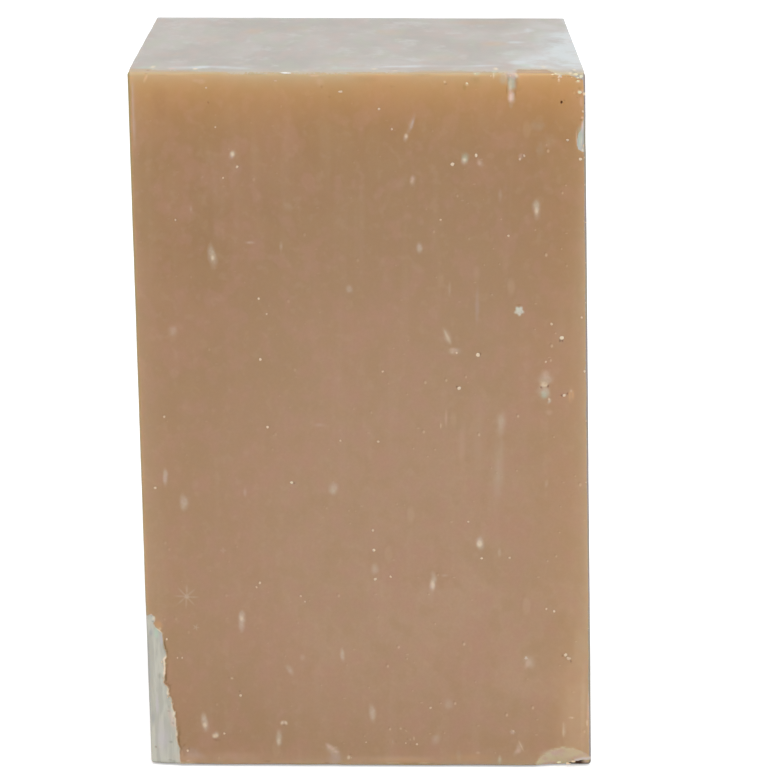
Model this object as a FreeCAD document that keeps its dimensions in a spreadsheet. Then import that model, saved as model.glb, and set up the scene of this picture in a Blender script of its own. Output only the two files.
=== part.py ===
import FreeCAD, Part
import os

import Sketcher

# A bar of household soap: one solid block, standing on its foot.
#
# The bar is a thick slice of a long cast block. Its front and back are the cut faces, and its top, foot and
# two sides carry the dry skin of the casting. It was cut by hand, so it leans a little to its left as it
# rises, and its foot is a little wider than its top. Knocks have broken its arrises in five places:
#   flake   a long, thin and ragged flake off the front's left arris, from the foot up
#   spall   a shallow piece off the front's foot, at the right corner
#   slip    a thin wedge off the underside of that corner, so that it stands just clear of the ground
#   chip    a leaf-shaped piece off the front's right arris, near the top
#   nick    a short tongue-shaped scoop out of the front's top arris
#
# Frame: +Z up with the foot on Z = 0, +X to the right as the front is seen, and the front towards -Y. The
# origin is the middle of the bar's box, on the foot. All sizes are in millimetres.

SIZES = {
    "top_width": (52.0, "width of the top, left to right"),
    "foot_width": (52.7, "width of the foot, left to right"),
    "depth": (48.0, "thickness of the slice, front to back"),
    "tall": (83.4, "foot to top"),
    "lean": (1.8, "how far the top's middle stands to the left of the foot's middle"),
    "arris": (0.4, "radius worn on every edge"),
    "flake_tall": (18.8, "height of the flake above the foot"),
    "flake_width": (3.6, "widest part of the flake on the front"),
    "flake_depth": (0.6, "depth of the flake on the left side"),
    "spall_width": (6.6, "length of the spall along the foot"),
    "spall_tall": (2.4, "height of the spall on the front"),
    "spall_depth": (0.6, "depth of the spall under the foot"),
    "slip_width": (3.2, "length of the slip along the foot"),
    "slip_tall": (0.8, "height of the slip at the corner"),
    "slip_depth": (3.0, "how far the slip runs back under the foot"),
    "chip_drop": (9.6, "lower end of the chip, below the top"),
    "chip_length": (5.7, "length of the chip up the right arris"),
    "chip_width": (0.9, "width of the chip on the front"),
    "chip_depth": (0.6, "depth of the chip on the right side"),
    "nick_inset": (8.2, "middle of the nick, in from the top's right end"),
    "nick_width": (1.7, "width of the nick on the top arris"),
    "nick_length": (3.5, "how far the nick runs down the front"),
    "nick_depth": (0.5, "depth of the nick in the top face"),
}

# Ragged outlines of the broken places, as shares of their own width and length.
FLAKE_EDGE = (
    (1.00, 0.12), (0.87, 0.16), (0.91, 0.28), (0.77, 0.39), (0.67, 0.47),
    (0.56, 0.57), (0.63, 0.72), (0.53, 0.87), (0.24, 0.94), (0.04, 1.00),
)
SPALL_EDGE = ((0.96, 0.30), (0.75, 0.86), (0.54, 1.00), (0.28, 0.93), (0.10, 0.60))
SLIP_EDGE = ((1.00, 0.10), (0.60, 0.54), (0.36, 0.84), (0.00, 1.00))
CHIP_EDGE = (
    (-0.25, 0.00), (0.15, 0.02), (0.66, 0.14), (0.94, 0.34), (0.90, 0.54), (0.61, 0.80), (0.13, 1.00),
)
NICK_EDGE = (
    (-0.50, 0.00), (-0.54, 0.64), (-0.38, 0.88), (-0.12, 1.00), (0.16, 0.93), (0.34, 0.60), (0.50, 0.00),
)


class Length:
    """A length as a number, and as the sheet's expression for the same length."""

    def __init__(self, value, text):
        self.value = value
        self.text = text

    def __add__(self, other):
        return Length(self.value + other.value, f"({self.text} + {other.text})")

    def __sub__(self, other):
        return Length(self.value - other.value, f"({self.text} - {other.text})")

    def __mul__(self, share):
        return Length(self.value * share, f"({self.text} * {share})")


def size(name):
    """A driving dimension, from the sheet's cell of that name."""
    return Length(SIZES[name][0], f"sizes.{name}")


NOTHING = Length(0.0, "0")
OVERCUT = Length(2.0, "2")

# Where the block's corners lie. The block's box spans its lean and the mean of its two widths.
SPAN = size("lean") + (size("top_width") + size("foot_width")) * 0.5
TOP_LEFT = SPAN * -0.5
TOP_RIGHT = TOP_LEFT + size("top_width")
FOOT_RIGHT = SPAN * 0.5
FOOT_LEFT = FOOT_RIGHT - size("foot_width")


def size_sheet(doc):
    """The spreadsheet of driving dimensions. Features are bound to the names of its cells."""
    sheet = doc.addObject("Spreadsheet::Sheet", "sizes")
    for row, (name, (value, note)) in enumerate(SIZES.items(), start=1):
        sheet.set(f"A{row}", name)
        sheet.set(f"B{row}", str(value))
        sheet.set(f"C{row}", note)
        sheet.setAlias(f"B{row}", name)
    doc.recompute()


def outline_sketch(body, name, corners, ahead):
    """A closed outline on a plane parallel to the front, the length ahead of the bar's middle."""
    sketch = body.newObject("Sketcher::SketchObject", name)
    plane = next(f for f in body.Origin.OriginFeatures if f.Role == "XZ_Plane")
    sketch.AttachmentSupport = [(plane, "")]
    sketch.MapMode = "FlatFace"
    sketch.setExpression("AttachmentOffset.Base.z", ahead.text)
    places = [FreeCAD.Vector(across.value, up.value, 0) for across, up in corners]
    following = places[1:] + places[:1]
    for start, end in zip(places, following):
        sketch.addGeometry(Part.LineSegment(start, end), False)
    for i, (across, up) in enumerate(corners):
        sketch.addConstraint(Sketcher.Constraint("Coincident", i, 2, (i + 1) % len(corners), 1))
        for kind, length in (("DistanceX", across), ("DistanceY", up)):
            row = sketch.addConstraint(Sketcher.Constraint(kind, -1, 1, i, 1, length.value))
            sketch.setExpression(f"Constraints[{row}]", length.text)
    return sketch


def block(body):
    """The slice itself, leaning and slightly tapered, with every arris worn round."""
    foot = [(FOOT_LEFT, NOTHING), (FOOT_RIGHT, NOTHING)]
    top = [(TOP_RIGHT, size("tall")), (TOP_LEFT, size("tall"))]
    pad = body.newObject("PartDesign::Pad", "slice")
    pad.Profile = outline_sketch(body, "slice_outline", foot + top, NOTHING)
    pad.SideType = "Symmetric"
    pad.setExpression("Length", size("depth").text)
    body.Document.recompute()
    worn = body.newObject("PartDesign::Fillet", "worn_arrises")
    worn.Base = (pad, ["Face1"])
    worn.UseAllEdges = True
    worn.setExpression("Radius", size("arris").text)
    body.Document.recompute()


def break_off(body, name, corners, slant):
    """Takes a broken piece off: its outline on the front, swept into the block along a slant."""
    cut = body.newObject("PartDesign::Pocket", name)
    cut.Profile = outline_sketch(body, f"{name}_outline", corners, size("depth") * 0.5)
    cut.UseCustomVector = True
    cut.AlongSketchNormal = False
    for axis, part in zip("xyz", slant):
        cut.setExpression(f"Direction.{axis}", part.text)
    reach = sum((abs(part.value) for part in slant), 2 * OVERCUT.value)
    cut.Length = 2 * reach
    body.Document.recompute()


def flake(body):
    """The ragged flake off the left arris, slanting from the front back to the left side."""
    wide = size("flake_width")
    beyond = TOP_LEFT - OVERCUT
    corners = [(beyond, NOTHING - OVERCUT), (FOOT_LEFT + wide, NOTHING - OVERCUT)]
    corners += [(FOOT_LEFT + wide * w, size("flake_tall") * t) for w, t in FLAKE_EDGE]
    corners += [(beyond, size("flake_tall"))]
    break_off(body, "flake", corners, (wide * -1, size("flake_depth"), NOTHING))


def spall(body):
    """The shallow spall at the foot's right corner, undercutting the front down to the foot."""
    wide = size("spall_width")
    beyond = FOOT_RIGHT + OVERCUT
    corners = [(beyond, NOTHING - OVERCUT), (FOOT_RIGHT - wide, NOTHING - OVERCUT)]
    corners += [(FOOT_RIGHT - wide * w, size("spall_tall") * t) for w, t in SPALL_EDGE]
    corners += [(beyond, size("spall_tall") * SPALL_EDGE[-1][1])]
    break_off(body, "spall", corners, (NOTHING, size("spall_depth"), size("spall_tall") * -1))


def slip(body):
    """The thin wedge off the underside of the foot's right corner, running out to the foot behind."""
    wide = size("slip_width")
    beyond = FOOT_RIGHT + OVERCUT
    corners = [(beyond, NOTHING - OVERCUT), (FOOT_RIGHT - wide, NOTHING - OVERCUT)]
    corners += [(FOOT_RIGHT - wide * w, size("slip_tall") * t) for w, t in SLIP_EDGE]
    corners += [(beyond, size("slip_tall"))]
    break_off(body, "slip", corners, (NOTHING, size("slip_depth"), size("slip_tall") * -1))


def chip(body):
    """The leaf-shaped chip off the right arris, slanting from the front back to the right side."""
    wide, long = size("chip_width"), size("chip_length")
    lower_end = size("tall") - size("chip_drop")
    beyond = FOOT_RIGHT + OVERCUT
    corners = [(TOP_RIGHT - wide * w, lower_end + long * t) for w, t in CHIP_EDGE]
    corners += [(beyond, lower_end + long), (beyond, lower_end)]
    break_off(body, "chip", corners, (wide, size("chip_depth"), NOTHING))


def nick(body):
    """The tongue-shaped nick in the top arris, deepest where it leaves the top face."""
    wide, long = size("nick_width"), size("nick_length")
    middle = TOP_RIGHT - size("nick_inset")
    corners = [(middle + wide * w, size("tall") - long * t) for w, t in NICK_EDGE]
    above = size("tall") + OVERCUT
    corners += [(corners[-1][0], above), (corners[0][0], above)]
    break_off(body, "nick", corners, (NOTHING, size("nick_depth"), long))


def soap_bar(doc):
    """The whole bar, as one body."""
    body = doc.addObject("PartDesign::Body", "soap_bar")
    body.Label = "soap_bar"
    block(body)
    for breakage in (flake, spall, slip, chip, nick):
        before = body.Shape.Volume
        breakage(body)
        lost = before - body.Shape.Volume
        print(f"{breakage.__name__} takes off {lost:.2f} mm3")
        if lost <= 0:
            raise ValueError(f"{breakage.__name__} takes nothing off")
    return body


def check(doc, bodies):
    """Stops if a feature failed or a sub-part isn't one valid closed solid."""
    failed = [o.Label for o in doc.Objects if "Invalid" in o.State or "Error" in o.State]
    shapes = [(b.Label, b.Shape) for b in bodies]
    failed += [label for label, s in shapes if s.isNull() or not s.isValid() or len(s.Solids) != 1]
    if failed:
        raise ValueError(f"these objects failed: {failed}")


def main():
    doc = FreeCAD.newDocument("soap")
    size_sheet(doc)
    bodies = [soap_bar(doc)]
    doc.recompute()
    check(doc, bodies)
    os.makedirs("parts", exist_ok=True)
    for body in bodies:
        body.Shape.exportStep(os.path.join("parts", f"{body.Label}.step"))
        box = body.Shape.BoundBox
        print(f"{body.Label}: {body.Shape.Volume / 1000:.2f} cm3")
        for axis in "XYZ":
            print(f"  {axis} {getattr(box, axis + 'Min'):.2f} to {getattr(box, axis + 'Max'):.2f}")


main()
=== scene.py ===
import math

import bmesh
import bpy
import numpy as np
from mathutils import Matrix, Vector


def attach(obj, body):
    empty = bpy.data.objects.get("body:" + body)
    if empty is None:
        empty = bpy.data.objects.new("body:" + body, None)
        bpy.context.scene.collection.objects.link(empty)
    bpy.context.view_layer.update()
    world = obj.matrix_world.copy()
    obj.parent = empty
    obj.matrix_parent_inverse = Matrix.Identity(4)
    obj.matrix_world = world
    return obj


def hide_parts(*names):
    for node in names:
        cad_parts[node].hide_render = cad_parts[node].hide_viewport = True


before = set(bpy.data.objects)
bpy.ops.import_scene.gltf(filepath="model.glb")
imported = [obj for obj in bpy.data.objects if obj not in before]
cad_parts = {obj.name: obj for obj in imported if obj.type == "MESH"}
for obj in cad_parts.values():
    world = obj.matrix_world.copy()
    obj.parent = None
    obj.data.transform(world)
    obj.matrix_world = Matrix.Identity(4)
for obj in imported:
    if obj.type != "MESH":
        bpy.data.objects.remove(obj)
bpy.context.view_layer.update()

# A hand-cut bar of household soap, standing on its foot. Its front and back are cut faces of tan soap,
# slightly translucent. Its top, foot and two sides carry a pale dry skin. Lengths are in millimetres until a
# mesh is made.

MM = 0.001
TALL, DEPTH = 83.4, 48.0
TOP_WIDTH, FOOT_WIDTH, LEAN = 52.0, 52.7, 1.8
WIDE = (TOP_WIDTH + FOOT_WIDTH) / 2
HALF = np.array([WIDE, DEPTH, TALL]) / 2    # half the box, before it leans and tapers
SPAN = LEAN + WIDE    # the leaning bar's whole width
ARRIS = 0.38          # radius worn on the edges
INSET = 0.11          # how far inside the box the surface lies, as room for what stands proud of it
FACE = -DEPTH / 2 + INSET * 0.6     # where the front lies
ROUND = (83.0, 83.8)  # where the top arris's round begins and ends, up the front and on over the top
COARSE = 1.7          # pitch of the mesh where nothing asks for a finer one

# Soft whitish blotches on the front: across, up, half height, half width, strength. A lean in degrees
# comes before the strength where a blotch has one.
BLOTCHES = (
    (20.9, 47.7, 0.8, 0.8, 0.36), (20.8, 46.2, 0.8, 0.7, -20, 0.46), (21.4, 45.0, 0.35, 0.2, 30, 0.6),
    (19.5, 13.1, 0.85, 0.6, -30, 0.24), (19.6, 67.8, 1.1, 0.5, -5, 0.46), (-19.1, 5.4, 1.05, 0.42, -8, 0.48),
    (-17.6, 62.1, 1.25, 0.48, -8, 0.42), (-14.6, 18.1, 1.2, 0.42, 2, 0.45), (8.0, 22.8, 1.35, 0.42, 3, 0.44),
    (0.9, 6.6, 1.25, 0.42, -10, 0.4), (-15.2, 73.9, 0.6, 0.4, 30, 0.5), (13.5, 27.8, 0.75, 0.5, -10, 0.42),
    (-21.2, 32.6, 1.0, 0.5, -8, 0.36), (-10.3, 3.4, 1.05, 0.36, 0.36), (-23.4, 35.7, 1.05, 0.3, 0.42),
    (-3.8, 1.9, 0.95, 0.6, -60, 0.34), (10.3, 51.0, 0.45, 0.7, 0.3), (-17.8, 3.8, 0.4, 0.42, 0.42),
    (9.4, 52.8, 1.05, 0.44, -14, 0.26), (-3.7, 34.3, 0.75, 0.52, 10, 0.32), (11.3, 73.3, 0.48, 0.45, 0.34),
    (-2.7, 13.9, 0.85, 0.28, -8, 0.36), (15.9, 42.4, 1.6, 0.55, 4, 0.26), (15.7, 37.0, 3.6, 0.55, 3, 0.12),
    (6.2, 63.1, 0.68, 0.34, 0.34), (-22.3, 53.3, 0.58, 0.56, 0.26), (18.4, 2.2, 0.95, 0.5, 25, 0.26),
    (1.1, 24.5, 0.72, 0.48, 8, 0.26), (8.4, 3.3, 0.76, 0.52, 18, 0.24), (23.9, 45.7, 0.95, 0.38, 0.08),
    (5.4, 70.9, 0.75, 0.36, 18, 0.24), (-8.9, 12.0, 0.9, 0.42, -30, 0.26), (4.6, 76.0, 0.55, 0.28, 15, 0.3),
    (5.2, 77.5, 1.25, 0.3, 20, 0.2), (10.0, 7.9, 0.7, 0.6, 0.18), (-1.9, 58.3, 0.5, 0.38, 0.24),
    (13.1, 73.0, 0.52, 0.34, -20, 0.24), (23.8, 4.4, 0.95, 0.26, 5, 0.22), (15.4, 69.4, 0.75, 0.22, 0.16),
    (-14.1, 33.9, 0.62, 0.2, 0.2), (15.8, 26.6, 0.55, 0.22, 0.22), (-9.7, 63.3, 0.6, 0.18, 0.22),
    (-20.0, 67.6, 0.52, 0.2, 0.2), (21.2, 35.1, 0.5, 0.2, 8, 0.18), (9.7, 58.3, 0.85, 0.17, 0.18),
    (-8.9, 68.0, 0.5, 0.4, 0.14), (-7.4, 13.6, 0.4, 0.32, 0.16), (9.4, 23.8, 0.22, 0.5, 0.2),
    (-13.3, 63.7, 0.18, 0.56, 0.3), (-5.4, 42.1, 0.26, 0.66, 0.16), (-9.7, 5.4, 0.26, 0.42, 0.32),
    (21.0, 75.6, 0.7, 0.95, 0.1), (22.6, 53.6, 4.0, 0.6, 0.05), (13.2, 40.5, 6.0, 0.55, 2, 0.05),
    (16.6, 80.6, 0.7, 0.42, 0.45), (22.3, 1.6, 0.55, 1.7, 0.3),
)
# Blotches of the same kinds on the back
BACK_RANGES = ((-25, 24), (2, 81), (0.4, 1.3), (0.22, 0.5), (-14, 14), (0.12, 0.46))
back_rng = np.random.default_rng(31)
BACK_BLOTCHES = [tuple(back_rng.uniform(*ends) for ends in BACK_RANGES) for _ in range(38)]
# Local tints, as they are seen: mostly the soap's own, some painted shade and some painted highlights
TINTS = {
    "ash": (186, 180, 164), "slate": (146, 146, 132), "mint": (184, 204, 184), "lilac": (198, 190, 198),
    "rose": (222, 190, 176), "cream": (236, 220, 192), "amber": (212, 166, 116), "olive": (150, 128, 66),
    "umber": (112, 64, 34), "steel": (160, 162, 170),
}
# Where the tints lie, in the same way, with up going up the front and on over the top
# Some dark slate, olive and umber marks, along the left arris, the flake's outline, a crack at the top arris
# and the foot, are painted shade; a few pale cream marks, as at the flake's top, are painted highlights
MARKS = {"ash": (
    (16.4, 82.7, 0.95, 0.7, 0.5), (16.6, 82.2, 0.9, 0.55, 2, 0.78), (16.5, 79.7, 0.4, 0.25, 0.28),
    (15.6, 82.9, 0.9, 0.45, 0.48), (15.4, 36.7, 4.1, 0.7, 0.1), (19.6, 77.3, 0.55, 0.8, 0.18),
    (19.9, 74.6, 0.7, 0.6, 0.1), (15.5, 85.5, 1.0, 0.3, 0.4), (3.3, 3.05, 0.25, 0.1, 0.3),
    (11.2, 1.4, 0.7, 0.3, 0.18),
), "slate": (
    (24.95, 75.6, 0.95, 0.15, 0.5), (-25.1, 17.95, 0.1, 0.2, 0.9), (-24.4, 11.2, 0.4, 0.25, 0.35),
    (-23.15, 2.85, 0.15, 0.25, 0.65), (-23.3, 0.55, 0.09, 0.3, 0.7), (-22.85, 0.4, 0.08, 0.35, 0.6),
    (-25.75, 9.45, 7.5, 0.15, 0.42), (18.0, 55.65, 0.15, 0.1, 0.5), (23.6, 85.0, 1.6, 0.1, -13, 0.5),
    (3.1, 86.2, 0.4, 0.7, 0.3), (5.3, 85.3, 0.35, 0.5, 0.2), (23.7, 84.1, 0.3, 0.55, -50, 0.55),
    (24.2, 83.3, 0.25, 0.25, -60, 0.45),
), "mint": (
    (16.5, 82.2, 0.6, 0.4, 0.3), (24.35, 75.75, 1.05, 0.15, 0.6), (24.4, 76.0, 1.4, 0.35, 0.4),
    (-24.7, 16.5, 0.7, 0.3, 0.75), (20.8, 45.8, 0.6, 0.55, 0.5), (17.7, 55.8, 0.55, 0.45, 0.35),
    (11.4, 73.7, 0.6, 0.45, 0.35), (-25.8, 87.0, 0.7, 0.9, 0.3), (18.2, 89.6, 1.0, 1.0, 0.45),
    (16.1, 0.7, 0.6, 0.3, 0.3), (-25.2, 87.2, 0.7, 1.0, 0.25), (-2.6, 87.0, 0.9, 1.4, 0.35),
    (12.6, 83.6, 0.55, 0.4, 0.45), (14.6, 84.2, 1.1, 0.3, 0.4),
), "lilac": (
    (16.5, 83.4, 0.75, 0.75, 0.5), (16.8, 83.0, 0.35, 0.6, 0.6), (24.65, 77.2, 0.7, 0.15, 0.6),
    (-24.15, 15.7, 0.8, 0.15, 0.6), (-24.75, 7.45, 1.25, 0.2, 0.55), (-24.2, 3.3, 2.0, 0.85, 0.5),
    (12.9, 56.3, 2.3, 0.25, 0.15), (5.3, 77.5, 0.9, 0.15, 18, 0.3), (16.7, 84.7, 1.8, 0.6, 0.5),
    (-20.6, 1.6, 0.6, 1.6, 20, 0.14), (-3.6, 0.9, 0.7, 0.9, 0.22), (-13.5, 88.3, 1.2, 1.2, 0.35),
), "rose": (
    (16.9, 83.3, 0.35, 0.5, 0.3), (16.5, 80.8, 0.65, 0.35, 0.85), (24.55, 81.3, 0.25, 0.2, 0.5),
    (24.5, 80.1, 0.55, 0.2, 0.25), (24.65, 78.3, 0.15, 0.15, 0.8), (24.7, 77.45, 0.7, 0.1, 0.7),
    (24.0, 75.9, 1.0, 0.08, 0.45), (-19.2, 82.4, 0.25, 0.55, 0.2), (-25.3, 18.85, 0.1, 0.15, 0.7),
    (-23.0, 5.6, 1.4, 0.35, -12, 0.42), (-24.55, 2.1, 0.1, 0.1, 0.4), (-21.9, 1.3, 0.75, 0.2, 0.25),
    (-21.15, 0.55, 0.15, 0.4, 0.45), (18.3, 1.9, 0.4, 0.35, 0.35), (26.55, 6.9, 2.5, 0.15, 0.35),
    (19.2, 12.8, 0.75, 0.3, 20, 0.25), (20.8, 48.4, 0.4, 0.45, 0.2), (21.4, 43.7, 0.35, 0.4, 0.2),
    (10.1, 51.1, 0.35, 0.45, 0.25), (11.3, 39.7, 3.65, 0.45, 0.1), (9.4, 43.0, 0.95, 0.15, 0.2),
    (12.9, 73.0, 0.3, 0.3, 20, 0.3), (17.7, 73.8, 0.35, 0.3, 25, 0.3), (5.3, 71.1, 0.6, 0.25, 10, 0.3),
    (-22.2, 86.3, 0.7, 0.45, 0.5), (-21.0, 0.9, 0.6, 2.2, 0.22), (-15.6, 1.1, 0.7, 3.2, 0.15),
    (3.6, 0.9, 0.4, 5.5, 0.14), (-4.1, 2.3, 0.8, 0.25, -55, 0.4), (-3.5, 1.75, 0.15, 0.5, 0.45),
    (-5.9, 83.0, 0.1, 0.65, 0.5), (-5.2, 82.3, 0.5, 0.5, 0.18), (-2.9, 81.15, 0.1, 0.3, 0.5),
    (-18.7, 82.3, 0.3, 0.5, 0.22),
), "cream": (
    (17.1, 83.1, 0.35, 0.2, 0.45), (16.4, 82.0, 0.7, 0.2, 0.35), (16.5, 80.7, 0.4, 0.1, 0.35),
    (14.5, 83.15, 0.5, 0.1, 0.55), (21.5, 83.35, 0.15, 0.7, 0.65), (22.0, 83.05, 0.25, 0.15, 0.75),
    (24.1, 82.4, 0.1, 0.3, 0.6), (24.2, 81.25, 0.2, 0.15, 0.85), (24.6, 75.5, 0.75, 0.1, 0.4),
    (24.75, 74.55, 0.2, 0.15, 0.8), (23.2, 83.8, 0.4, 0.2, 0.85), (23.8, 86.2, 0.65, 0.2, 0.7),
    (23.8, 83.3, 0.25, 0.3, 0.5), (-25.0, 18.4, 0.25, 0.2, 0.5), (-24.3, 17.1, 0.2, 0.2, 0.5),
    (-22.9, 6.2, 0.5, 0.07, -12, 0.5), (18.65, 2.55, 0.85, 0.1, -25, 0.3), (23.65, 4.6, 1.25, 0.15, 0.28),
    (24.6, 6.15, 0.15, 0.5, 0.5), (26.45, 5.5, 0.4, 0.15, 0.4), (20.8, 47.0, 0.35, 0.45, 0.62),
    (21.35, 45.25, 0.2, 0.15, 0.7), (23.9, 46.25, 0.2, 0.15, 0.35), (9.4, 52.8, 1.0, 0.2, -24, 0.26),
    (8.8, 42.0, 0.35, 0.1, 0.35), (4.6, 76.15, 0.25, 0.2, 0.45), (11.3, 73.4, 0.2, 0.2, 0.45),
    (-19.5, 86.1, 0.6, 0.3, 0.9), (-24.4, 87.5, 0.9, 0.35, 0.6), (14.9, 86.8, 1.2, 0.3, 0.7),
    (20.4, 88.4, 1.3, 0.35, 0.4), (13.4, 27.7, 0.4, 0.3, 0.5), (-17.6, 61.9, 0.4, 0.2, 0.5),
    (-15.2, 74.0, 0.35, 0.25, 0.55), (8.0, 22.6, 0.7, 0.25, 0.4), (-19.1, 5.1, 0.35, 0.3, 0.45),
    (-14.6, 18.4, 0.35, 0.25, 0.4), (19.6, 67.5, 0.4, 0.3, 0.42), (-17.8, 3.7, 0.25, 0.4, 0.5),
    (24.8, 4.5, 7.5, 1.7, 0.11), (25.9, 6.5, 6.5, 0.35, 0.16), (16.1, 0.9, 0.5, 0.2, 0.22),
    (3.6, 0.35, 0.08, 1.0, 0.35), (7.2, 0.35, 0.08, 0.8, 0.3), (-21.3, 0.25, 0.08, 1.2, 0.4),
    (-10.3, 3.0, 0.45, 0.25, 0.32), (-9.9, 5.35, 0.25, 0.15, 30, 0.45), (-9.4, 5.35, 0.25, 0.15, -30, 0.45),
    (-15.8, 10.95, 0.15, 0.2, 0.4), (-1.95, 1.05, 0.25, 0.2, 0.45), (4.25, 4.7, 0.15, 0.15, 0.32),
    (4.9, 4.4, 0.1, 0.2, 40, 0.25), (5.85, 3.45, 0.25, 0.1, 0.38), (5.4, 3.3, 0.15, 0.1, 0.26),
    (13.5, 1.65, 0.2, 0.3, 0.2), (25.4, 15.0, 3.5, 0.9, 0.09), (-24.95, 82.7, 0.55, 0.15, 25, 0.3),
    (-8.0, 84.5, 0.3, 0.4, 0.4), (1.0, 86.4, 0.7, 0.45, 0.45), (3.3, 85.0, 0.35, 0.35, 0.45),
    (8.95, 82.35, 0.15, 0.15, 0.45), (11.5, 82.1, 0.2, 0.2, 0.45), (21.9, 82.55, 0.2, 0.15, 0.55),
), "amber": (
    (-25.0, 82.75, 0.45, 0.2, 0.35), (-26.55, 82.7, 0.1, 0.35, 0.3), (-18.1, 82.95, 0.15, 0.9, 0.2),
    (-24.4, 17.6, 0.55, 0.5, -30, 0.42), (26.0, 5.2, 2.75, 0.6, 0.12), (23.75, 45.6, 0.95, 0.15, 0.5),
    (24.1, 45.75, 0.7, 0.15, 0.5), (23.9, 45.7, 1.0, 0.5, 0.22), (18.8, 84.6, 1.0, 1.8, 0.35),
    (24.4, 9.0, 9.5, 2.2, 0.12), (5.0, 0.7, 0.35, 4.2, 0.2), (12.6, 1.1, 0.5, 2.6, 0.2),
    (-25.6, 84.9, 1.4, 1.3, 0.12),
), "olive": (
    (17.5, 81.6, 0.35, 0.3, 0.14), (21.4, 83.15, 0.08, 0.25, 0.5), (23.05, 83.0, 0.1, 0.8, 0.4),
    (24.0, 82.65, 0.1, 0.3, 0.22), (24.3, 81.65, 0.2, 0.25, 0.35), (24.35, 80.8, 0.15, 0.25, 0.3),
    (-26.65, 80.65, 1.15, 0.1, 0.35), (-19.7, 83.1, 0.1, 1.0, 0.22), (-23.0, 83.0, 0.1, 0.65, 0.15),
    (-23.9, 14.85, 0.35, 0.08, 0.35), (-22.65, 3.45, 0.75, 0.1, 0.22), (-8.0, 0.15, 0.2, 3.2, 0.32),
    (6.0, 0.2, 0.15, 4.5, 0.42), (-17.5, 83.2, 0.2, 2.6, 0.16), (-12.6, 83.2, 0.2, 1.4, 0.22),
    (0.0, 82.6, 0.45, 1.6, 0.12), (6.4, 83.2, 0.25, 1.5, 0.2), (12.4, 82.6, 0.45, 0.55, 0.2),
    (11.2, 81.7, 0.4, 0.25, 0.3), (21.3, 82.85, 0.1, 0.3, 0.35),
), "umber": (
    (16.0, 81.35, 0.5, 0.09, 0.35), (17.0, 80.9, 0.55, 0.15, 0.22), (24.3, 82.95, 0.08, 0.35, 15, 0.45),
    (24.5, 82.7, 0.09, 0.15, 0.4), (23.95, 81.0, 0.09, 0.09, 0.25), (24.05, 80.6, 0.08, 0.1, 0.25),
    (24.5, 78.05, 0.07, 0.15, 0.55), (24.2, 75.6, 0.7, 0.07, 0.25), (-24.9, 83.2, 0.1, 0.3, 0.3),
    (-23.3, 79.6, 2.6, 1.1, 0.09), (-23.4, 6.75, 0.08, 0.2, 0.35), (-22.9, 5.25, 0.15, 0.15, 0.32),
    (-23.4, 7.3, 0.2, 0.07, 0.3), (-25.0, 2.1, 0.15, 0.15, 0.45), (20.85, 46.7, 0.09, 0.5, 0.2),
    (17.7, 56.45, 0.1, 0.45, 0.28), (17.3, 56.1, 0.2, 0.09, 0.18), (17.95, 73.85, 0.25, 0.15, 25, 0.2),
    (-4.6, 0.35, 0.1, 0.35, 0.35), (-11.7, 0.5, 0.08, 0.45, 0.28), (-9.65, 5.1, 0.1, 0.2, 0.3),
    (-21.6, 2.5, 0.15, 0.35, -50, 0.3), (-21.0, 2.1, 0.25, 0.1, 0.25), (-17.8, 3.2, 0.2, 0.45, 0.22),
    (-16.15, 11.05, 0.1, 0.15, 0.22), (-15.45, 11.05, 0.1, 0.15, 0.2), (-1.7, 1.4, 0.1, 0.2, 0.28),
    (4.7, 4.75, 0.09, 0.15, 0.22), (5.05, 3.4, 0.15, 0.15, 0.18), (5.4, 2.75, 0.15, 0.1, 0.18),
    (3.7, 3.0, 0.2, 0.09, 0.18), (2.75, 3.0, 0.2, 0.09, 0.16), (-24.8, 84.9, 0.4, 0.25, 0.35),
    (-5.0, 81.75, 0.2, 0.15, 0.22), (-4.1, 80.6, 0.2, 0.2, 0.2), (3.0, 81.8, 0.15, 0.35, 0.14),
    (9.1, 82.1, 0.1, 0.2, 0.28),
), "steel": (
    (-25.4, 16.5, 0.6, 0.4, 0.4), (-25.3, 5.7, 0.9, 0.25, 0.4), (-25.8, 9.5, 9.0, 0.3, 0.42),
)}
# Star-shaped flakes: across, up, radius, rays, turn, share of the radius that is solid, strength
STARS = (
    (17.75, 55.75, 0.75, 5, 0.6, 0.66, 1.0), (-21.1, 21.1, 1.75, 8, 0.2, 0.22, 0.2),
    (-21.05, 21.1, 0.45, 5, 0.4, 0.7, 0.34), (17.6, 4.3, 0.45, 6, 0.4, 0.6, 0.35),
    (-20.0, 17.3, 0.55, 5, 0.1, 0.3, 0.24), (19.1, 13.6, 0.28, 5, 0.9, 0.66, 0.9),
    (-16.7, 26.8, 0.5, 4, 0.0, 0.5, 0.12),
)
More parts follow.
